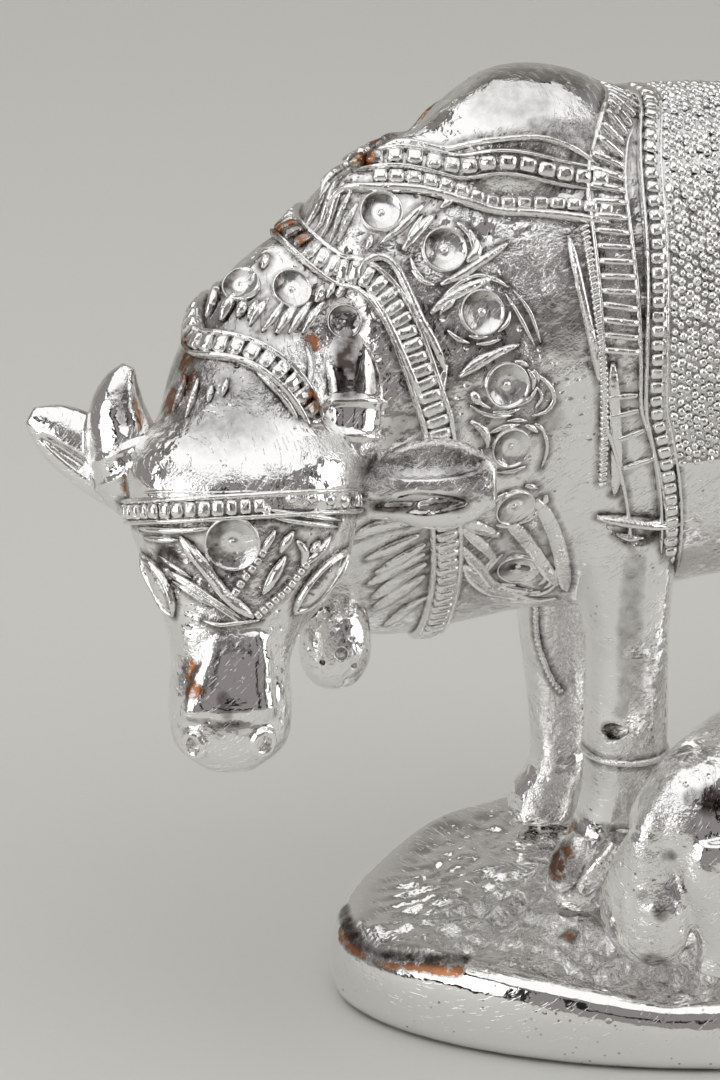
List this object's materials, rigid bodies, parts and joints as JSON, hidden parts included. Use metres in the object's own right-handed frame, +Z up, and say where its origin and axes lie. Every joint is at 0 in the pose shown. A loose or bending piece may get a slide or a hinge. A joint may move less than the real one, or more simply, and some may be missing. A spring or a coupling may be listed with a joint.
{
  "type": "cow and calf figurine",
  "caption": "Silver-plated cast figure of a humped cow in festival harness with her suckling calf, standing on an oval plinth.",
  "frame": {"origin": "centre of the plinth's underside", "axes": "+Z up; the cow faces -X and turns her head towards -Y, the side the calf stands on"},
  "size_m": [0.1484, 0.069, 0.1086],
  "materials": {
    "silver_plate": "bright plating over a rough casting, rubbed to copper on edges"
  },
  "bodies": {
    "root": {"plinth": "silver_plate", "cow": "silver_plate", "calf": "silver_plate"}
  },
  "joints": []
}
